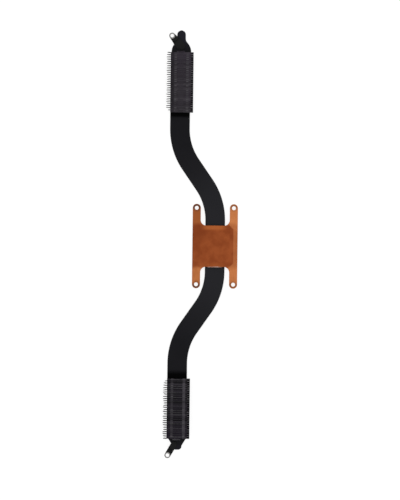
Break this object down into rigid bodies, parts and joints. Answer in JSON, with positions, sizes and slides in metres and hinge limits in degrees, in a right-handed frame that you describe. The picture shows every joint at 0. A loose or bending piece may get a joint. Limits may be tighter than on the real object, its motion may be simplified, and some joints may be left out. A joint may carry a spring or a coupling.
{
  "type": "laptop heat pipe heatsink",
  "caption": "Slim laptop heatsink: a bowed flat heat pipe with a copper cold plate at the middle and a black folded-fin stack with a screw ear at each end.",
  "frame": {"origin": "on the cold plate's pad face, which meets the processor, midway between the plate's four screw holes", "axes": "+Z out of the pad face, +Y along the pipe towards its pinched fill end, +X away from the fin stacks"},
  "size_m": [0.0426, 0.2498, 0.0065],
  "materials": {
    "black_pipe": "satin black paint over a copper tube",
    "bare_copper": "bare copper, rolled and slightly tarnished",
    "black_ear": "satin black paint, bare metal ring round the hole",
    "black_fin": "thin satin black paint on folded sheet"
  },
  "bodies": {
    "root": {"heat_pipe": "black_pipe", "cold_plate": "bare_copper", "fill_end_ear": "black_ear", "blind_end_ear": "black_ear", "fill_end_fin_01": "black_fin", "fill_end_fin_02": "black_fin", "fill_end_fin_03": "black_fin", "fill_end_fin_04": "black_fin", "fill_end_fin_05": "black_fin", "fill_end_fin_06": "black_fin", "fill_end_fin_07": "black_fin", "fill_end_fin_08": "black_fin", "fill_end_fin_09": "black_fin", "fill_end_fin_10": "black_fin", "fill_end_fin_11": "black_fin", "fill_end_fin_12": "black_fin", "fill_end_fin_13": "black_fin", "fill_end_fin_14": "black_fin", "fill_end_fin_15": "black_fin", "fill_end_fin_16": "black_fin", "fill_end_fin_17": "black_fin", "fill_end_fin_18": "black_fin", "fill_end_fin_19": "black_fin", "fill_end_fin_20": "black_fin", "fill_end_fin_21": "black_fin", "fill_end_fin_22": "black_fin", "fill_end_fin_23": "black_fin", "fill_end_fin_24": "black_fin", "fill_end_fin_25": "black_fin", "fill_end_fin_26": "black_fin", "fill_end_fin_27": "black_fin", "fill_end_fin_28": "black_fin", "blind_end_fin_01": "black_fin", "blind_end_fin_02": "black_fin", "blind_end_fin_03": "black_fin", "blind_end_fin_04": "black_fin", "blind_end_fin_05": "black_fin", "blind_end_fin_06": "black_fin", "blind_end_fin_07": "black_fin", "blind_end_fin_08": "black_fin", "blind_end_fin_09": "black_fin", "blind_end_fin_10": "black_fin", "blind_end_fin_11": "black_fin", "blind_end_fin_12": "black_fin", "blind_end_fin_13": "black_fin", "blind_end_fin_14": "black_fin", "blind_end_fin_15": "black_fin", "blind_end_fin_16": "black_fin", "blind_end_fin_17": "black_fin", "blind_end_fin_18": "black_fin", "blind_end_fin_19": "black_fin", "blind_end_fin_20": "black_fin", "blind_end_fin_21": "black_fin", "blind_end_fin_22": "black_fin", "blind_end_fin_23": "black_fin", "blind_end_fin_24": "black_fin", "blind_end_fin_25": "black_fin", "blind_end_fin_26": "black_fin", "blind_end_fin_27": "black_fin", "blind_end_fin_28": "black_fin"}
  },
  "joints": []
}
